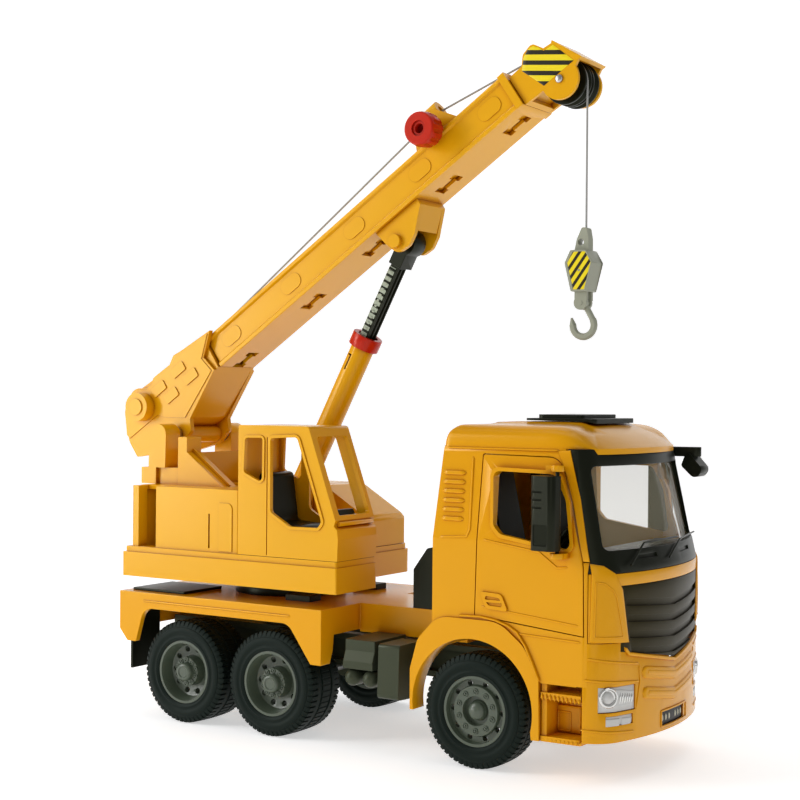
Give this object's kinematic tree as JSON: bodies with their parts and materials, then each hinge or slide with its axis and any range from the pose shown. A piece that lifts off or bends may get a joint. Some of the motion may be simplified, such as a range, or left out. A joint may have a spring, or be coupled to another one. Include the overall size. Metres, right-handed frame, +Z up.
{
  "type": "toy truck crane",
  "caption": "Three-axle toy truck with a slewing upper part, an operator's cab, a lifting telescopic boom, a winch and a hanging hook.",
  "frame": {"origin": "on the ground under the middle of the overall box", "axes": "+X the truck's nose, +Z up, -Y the near side"},
  "size_m": [0.3307, 0.1384, 0.3461],
  "materials": {
    "body_yellow": "smooth, slightly glossy",
    "crane_yellow": "smooth, slightly glossy",
    "black_plastic": "fine matt",
    "grey_plastic": "satin",
    "rim_grey": "satin, slight metallic flake",
    "silver_plastic": "satin",
    "red_plastic": "satin",
    "tyre": "soft rubber",
    "steel": "plain",
    "clear": "clear moulded plastic",
    "lamp_clear": "clear lens over a bright reflector",
    "cord": "twisted thin cord",
    "plate": "dark plate with plain bars"
  },
  "bodies": {
    "root": {"chassis_frame": "grey_plastic", "rear_deck": "body_yellow", "deck_plates": "black_plastic", "turntable_ring": "black_plastic", "mudflaps": "black_plastic", "battery_boxes": "grey_plastic", "side_lockers": "grey_plastic", "air_tanks": "grey_plastic", "intake_tower": "black_plastic", "cab_shell": "body_yellow", "cab_roof": "body_yellow", "nose_panel": "body_yellow", "windscreen_frame": "black_plastic", "windscreen_glass": "clear", "roof_hatch": "black_plastic", "grille": "black_plastic", "bumper": "body_yellow", "front_lamps": "lamp_clear", "number_plate": "plate", "front_wings": "body_yellow", "cab_steps": "body_yellow", "cab_interior": "black_plastic", "steering_wheel": "black_plastic", "front_mirror": "black_plastic", "wipers": "black_plastic"},
    "front_wheels": {"front_tyres": "tyre", "front_rims": "rim_grey", "front_axle": "steel"},
    "mid_wheels": {"mid_tyres": "tyre", "mid_rims": "rim_grey", "mid_axle": "steel"},
    "rear_wheels": {"rear_tyres": "tyre", "rear_rims": "rim_grey", "rear_axle": "steel"},
    "near_door": {"door_near": "body_yellow"},
    "far_door": {"door_far": "body_yellow"},
    "near_mirror": {"door_mirror_near": "black_plastic"},
    "far_mirror": {"door_mirror_far": "black_plastic"},
    "turret": {"turret_base": "crane_yellow", "boom_tower": "crane_yellow", "crane_cab": "crane_yellow", "crane_seat": "black_plastic", "engine_cover": "crane_yellow", "pivot_barrel": "steel"},
    "boom": {"boom_outer": "crane_yellow", "boom_heel": "crane_yellow", "lift_bracket": "crane_yellow", "winch_bracket": "crane_yellow", "rope_rear": "cord", "rope_run": "cord"},
    "winch": {"winch_knob": "red_plastic"},
    "jib": {"jib_section": "crane_yellow", "jib_head": "crane_yellow"},
    "head_sheaves": {"sheaves": "black_plastic"},
    "lift_cylinder": {"lift_tube": "crane_yellow", "lift_collar": "red_plastic"},
    "lift_ram": {"lift_rod": "black_plastic"},
    "hoist_rope": {"rope_fall": "cord"},
    "block": {"hook_block": "silver_plastic"},
    "swivel_hook": {"hook": "silver_plastic"}
  },
  "joints": [
    {"name": "front_axle_spin", "type": "hinge", "parent": "root", "child": "front_wheels", "pos_m": [0.08955, 0, 0.027], "axis": [0, 1, 0], "continuous": true},
    {"name": "mid_axle_spin", "type": "hinge", "parent": "root", "child": "mid_wheels", "pos_m": [-0.02985, 0, 0.027], "axis": [0, 1, 0], "continuous": true},
    {"name": "rear_axle_spin", "type": "hinge", "parent": "root", "child": "rear_wheels", "pos_m": [-0.08725, 0, 0.027], "axis": [0, 1, 0], "continuous": true},
    {"name": "near_door_hinge", "type": "hinge", "parent": "root", "child": "near_door", "pos_m": [0.14605, -0.0572, 0.105], "axis": [0, 0, 1], "range_deg": [0, 60]},
    {"name": "far_door_hinge", "type": "hinge", "parent": "root", "child": "far_door", "pos_m": [0.14605, 0.0572, 0.105], "axis": [0, 0, -1], "range_deg": [0, 60]},
    {"name": "near_mirror_fold", "type": "hinge", "parent": "near_door", "child": "near_mirror", "pos_m": [0.13475, -0.062, 0.122], "axis": [0, 0, 1], "range_deg": [-5, 35]},
    {"name": "far_mirror_fold", "type": "hinge", "parent": "far_door", "child": "far_mirror", "pos_m": [0.13475, 0.062, 0.122], "axis": [0, 0, -1], "range_deg": [-5, 35]},
    {"name": "slew", "type": "hinge", "parent": "root", "child": "turret", "pos_m": [-0.05875, 0, 0.075], "axis": [0, 0, 1], "continuous": true},
    {"name": "boom_lift", "type": "hinge", "parent": "turret", "child": "boom", "pos_m": [-0.12575, 0, 0.151], "axis": [0, -1, 0], "range_deg": [-5, 28]},
    {"name": "lift_swing", "type": "hinge", "parent": "turret", "child": "lift_cylinder", "pos_m": [-0.05825, 0, 0.112], "axis": [0, -1, 0], "range_deg": [-4.6, 25.4]},
    {"name": "ram_slide", "type": "slide", "parent": "lift_cylinder", "child": "lift_ram", "axis": [0.4655, 0, 0.8851], "range_m": [-0.0067, 0.0371]},
    {"name": "telescope", "type": "slide", "parent": "boom", "child": "jib", "axis": [0.8271, 0, 0.5621], "range_m": [0, 0.06]},
    {"name": "winch_turn", "type": "hinge", "parent": "boom", "child": "winch", "pos_m": [0.03853, 0, 0.30726], "axis": [0, 1, 0], "range_deg": [-662, 118]},
    {"name": "sheave_turn", "type": "hinge", "parent": "jib", "child": "head_sheaves", "pos_m": [0.10958, 0, 0.32689], "axis": [0, 1, 0], "range_deg": [-251, 45]},
    {"name": "rope_hang", "type": "hinge", "parent": "jib", "child": "hoist_rope", "pos_m": [0.10958, 0, 0.32689], "axis": [0, -1, 0], "range_deg": [-28.1, 5.1]},
    {"name": "hoist", "type": "slide", "parent": "hoist_rope", "child": "block", "axis": [0, 0, 1], "range_m": [-0.008, 0.045], "deforming": ["rope_fall"]},
    {"name": "hook_swing", "type": "hinge", "parent": "block", "child": "swivel_hook", "pos_m": [0.11848, -0.004, 0.2193], "axis": [0, 1, 0], "range_deg": [-30, 30]}
  ],
  "couplings": [
    {"joint": "lift_swing", "follows": "boom_lift", "ratio": 0.9},
    {"joint": "ram_slide", "follows": "boom_lift", "m_per_rad": 0.0755},
    {"joint": "rope_hang", "follows": "boom_lift", "ratio": -1},
    {"joint": "winch_turn", "follows": "hoist", "rad_per_m": -256.41},
    {"joint": "sheave_turn", "follows": "hoist", "rad_per_m": -97.087}
  ]
}
